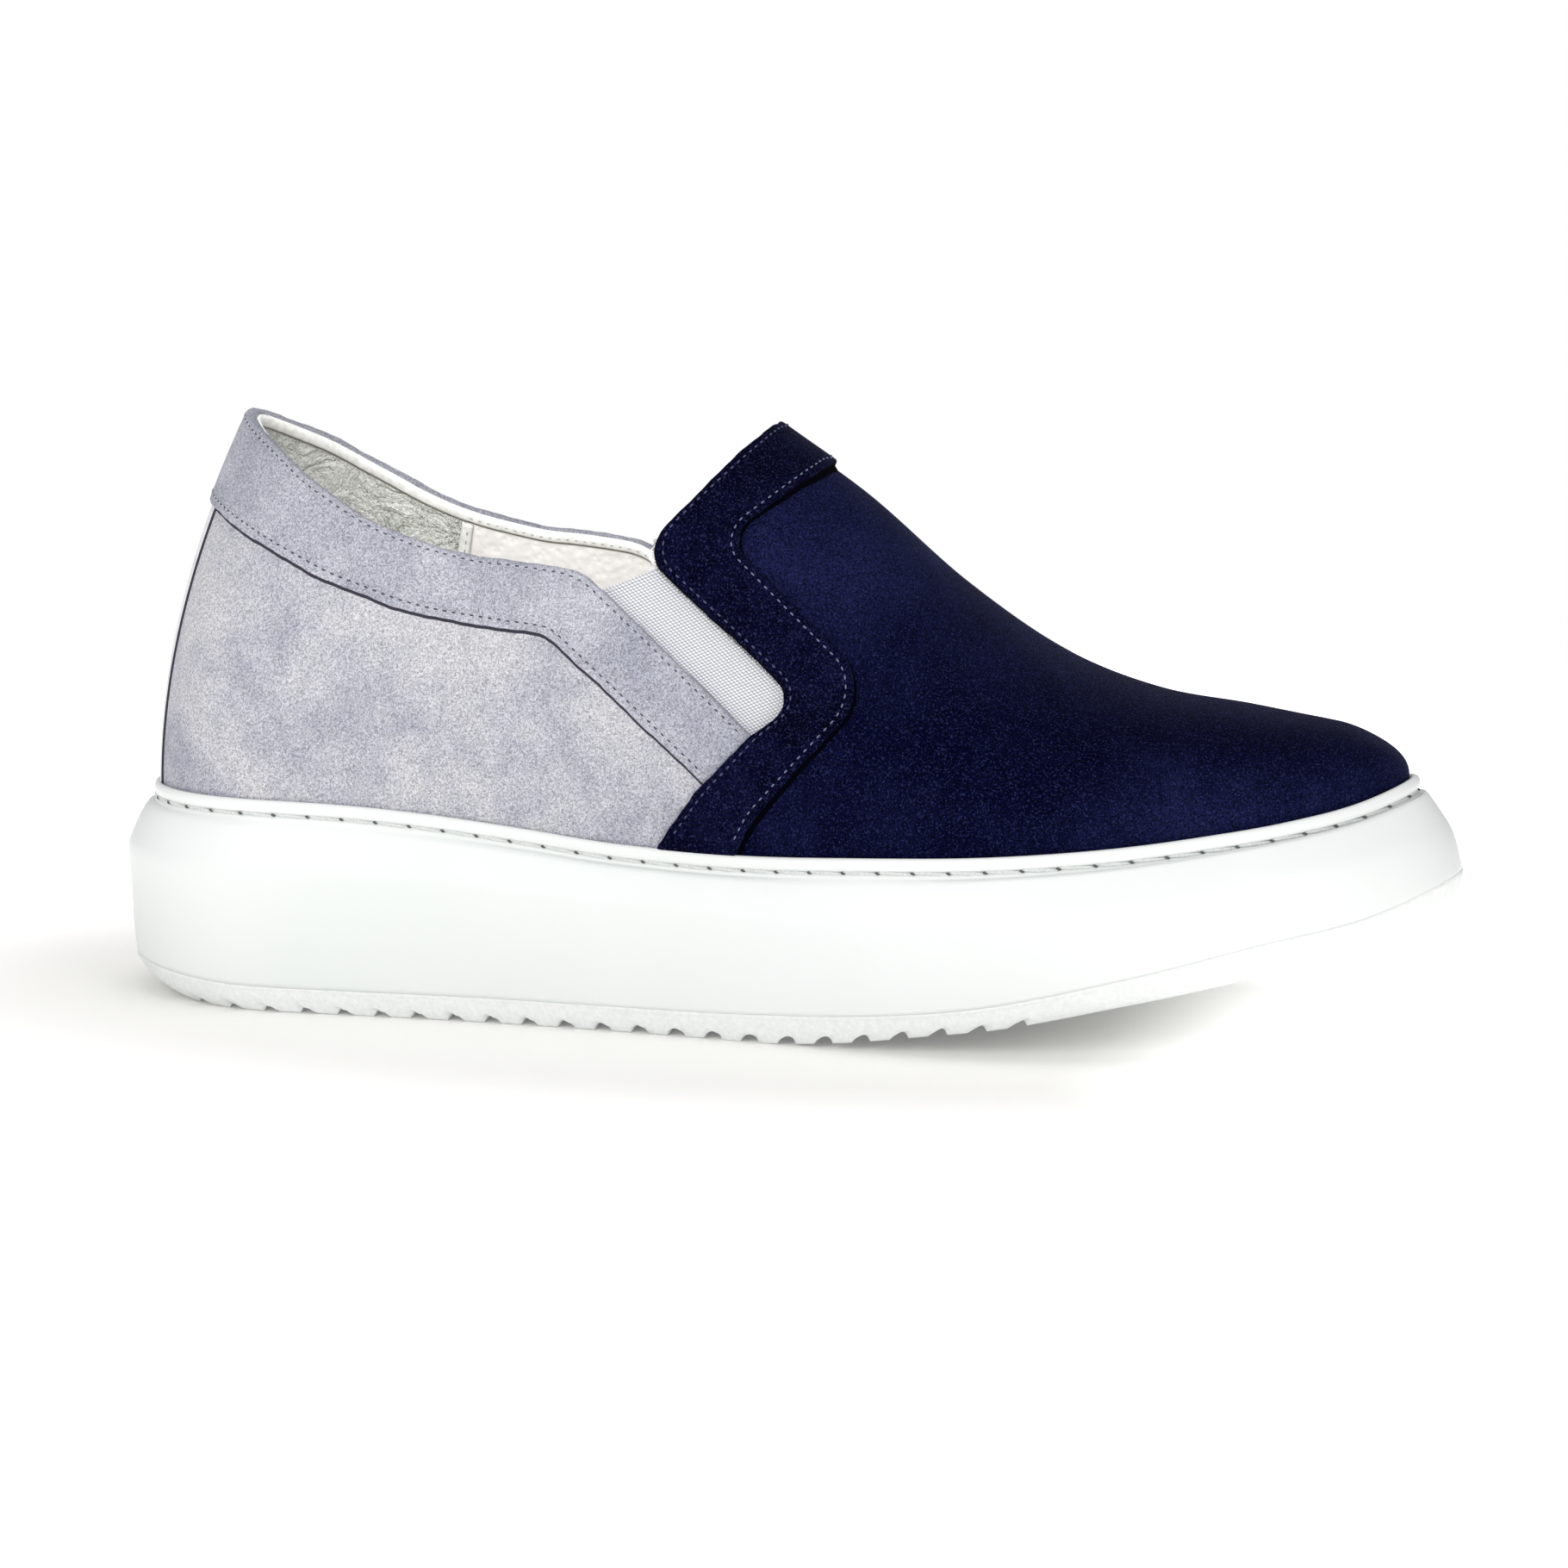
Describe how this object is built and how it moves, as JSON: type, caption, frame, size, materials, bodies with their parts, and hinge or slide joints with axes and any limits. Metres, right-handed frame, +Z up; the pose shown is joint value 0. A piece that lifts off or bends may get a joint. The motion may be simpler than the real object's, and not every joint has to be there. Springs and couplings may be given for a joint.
{
  "type": "slip-on shoe",
  "caption": "Slip-on shoe with a hidden heel lift: suede upper, elastic side gussets, a strip over the instep and a thick cup sole with a grooved tread.",
  "frame": {"origin": "middle of the shoe's box, on the floor that it stands on", "axes": "+X towards the toe, +Y towards the inner side of this right shoe, +Z up"},
  "size_m": [0.3, 0.1051, 0.1303],
  "materials": {
    "outsole": "fine granular off-white rubber",
    "midsole": "smooth satin white rubber",
    "insole": "pale smooth lining leather",
    "upper_suede": "grey suede behind the strip, navy suede in front of it",
    "band_suede": "grey suede",
    "strip_suede": "navy suede",
    "elastic": "ribbed woven elastic"
  },
  "bodies": {
    "root": {"outsole": "outsole", "midsole": "midsole", "insole": "insole", "upper": "upper_suede", "collar_band": "band_suede", "vamp_strip": "strip_suede", "gore_lateral": "elastic", "gore_medial": "elastic"}
  },
  "joints": []
}
